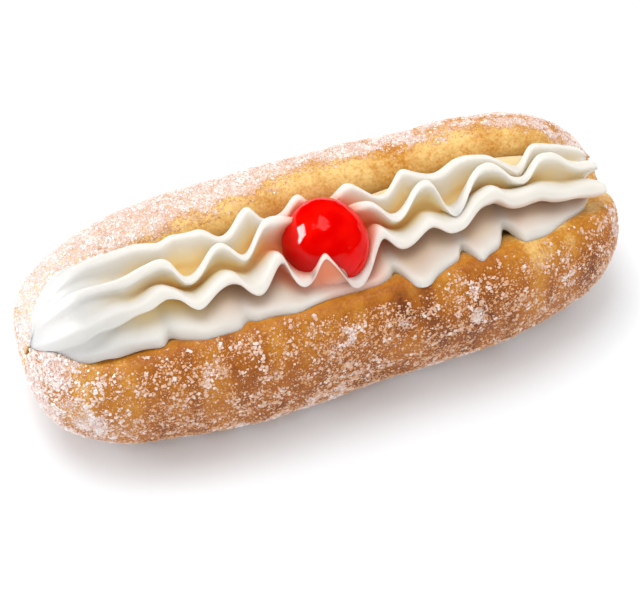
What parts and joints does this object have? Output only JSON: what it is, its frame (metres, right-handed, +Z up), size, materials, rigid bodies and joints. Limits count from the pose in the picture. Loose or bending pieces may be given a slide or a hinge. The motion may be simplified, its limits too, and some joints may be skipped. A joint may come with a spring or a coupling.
{
  "type": "cream-filled finger doughnut",
  "caption": "Long sugared finger doughnut, cut open along the top, filled with a wavy piped rope of whipped cream and topped with a glossy glace cherry.",
  "frame": {"origin": "on the flat spot that the bun rests on, straight below the middle of the bun's long axis", "axes": "+X along the bun from its shut end to its open end, +Z up as it lies on a table, -Y the side that the cut leans towards"},
  "size_m": [0.15, 0.0608, 0.0523],
  "materials": {
    "crust": "fried crust rolled in sugar",
    "cream": "soft satin",
    "cherry": "wet syrup gloss"
  },
  "bodies": {
    "root": {"bun": "crust", "cream": "cream", "cherry": "cherry"}
  },
  "joints": []
}
